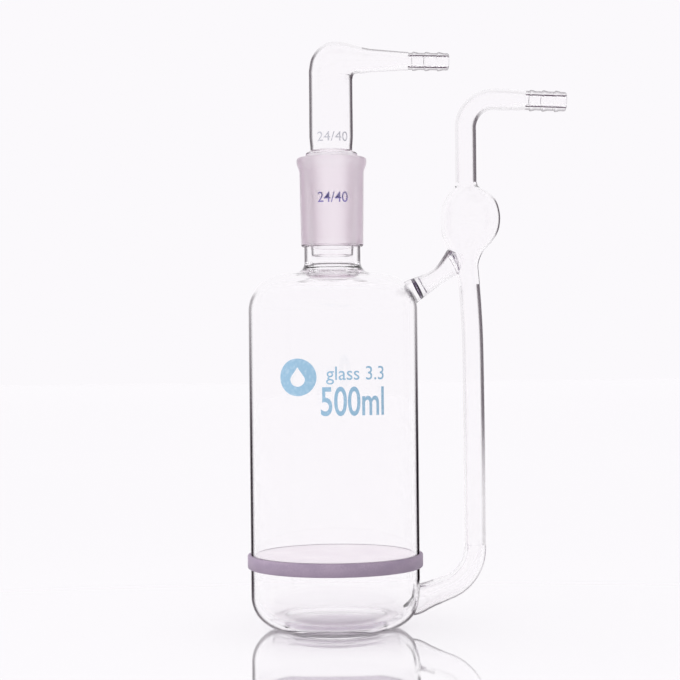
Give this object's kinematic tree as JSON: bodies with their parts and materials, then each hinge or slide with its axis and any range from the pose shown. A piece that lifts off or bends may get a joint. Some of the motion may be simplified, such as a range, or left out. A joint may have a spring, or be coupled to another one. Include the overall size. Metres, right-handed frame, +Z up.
{
  "type": "gas washing bottle",
  "caption": "Clear glass gas washing bottle with a sintered disc across its base, a side gas inlet with a safety bulb, and a lift-out ground-joint outlet adapter with a hose barb.",
  "frame": {"origin": "on the bottle's axis, on the surface that the foot stands on", "axes": "+Z up along the bottle's axis, +X towards the gas inlet riser"},
  "size_m": [0.1502, 0.0814, 0.2722],
  "materials": {
    "clear_glass": "clear borosilicate, flame polished",
    "ground_glass": "fine ground, frosted",
    "sintered_glass": "sintered, matt and grainy",
    "blue_enamel": "fired enamel print"
  },
  "bodies": {
    "bottle": {"reservoir": "clear_glass", "base_cup": "clear_glass", "frit_disc": "sintered_glass", "neck_tube": "clear_glass", "ground_socket": "ground_glass", "gas_port": "clear_glass", "inlet_bend": "clear_glass", "riser_tube": "clear_glass", "safety_bulb": "clear_glass", "inlet_tube": "clear_glass", "inlet_elbow": "clear_glass", "inlet_arm": "clear_glass", "inlet_barb": "clear_glass", "brace": "clear_glass"},
    "adapter_joint": {"adapter_cone": "ground_glass"},
    "outlet_adapter": {"adapter_tube": "clear_glass", "adapter_elbow": "clear_glass", "adapter_arm": "clear_glass", "adapter_barb": "clear_glass"}
  },
  "joints": [
    {"name": "adapter_lift", "type": "slide", "parent": "bottle", "child": "adapter_joint", "axis": [0, 0, 1], "range_m": [0, 0.055]},
    {"name": "adapter_turn", "type": "hinge", "parent": "adapter_joint", "child": "outlet_adapter", "pos_m": [0, 0, 0.2214], "axis": [0, 0, 1], "continuous": true}
  ]
}
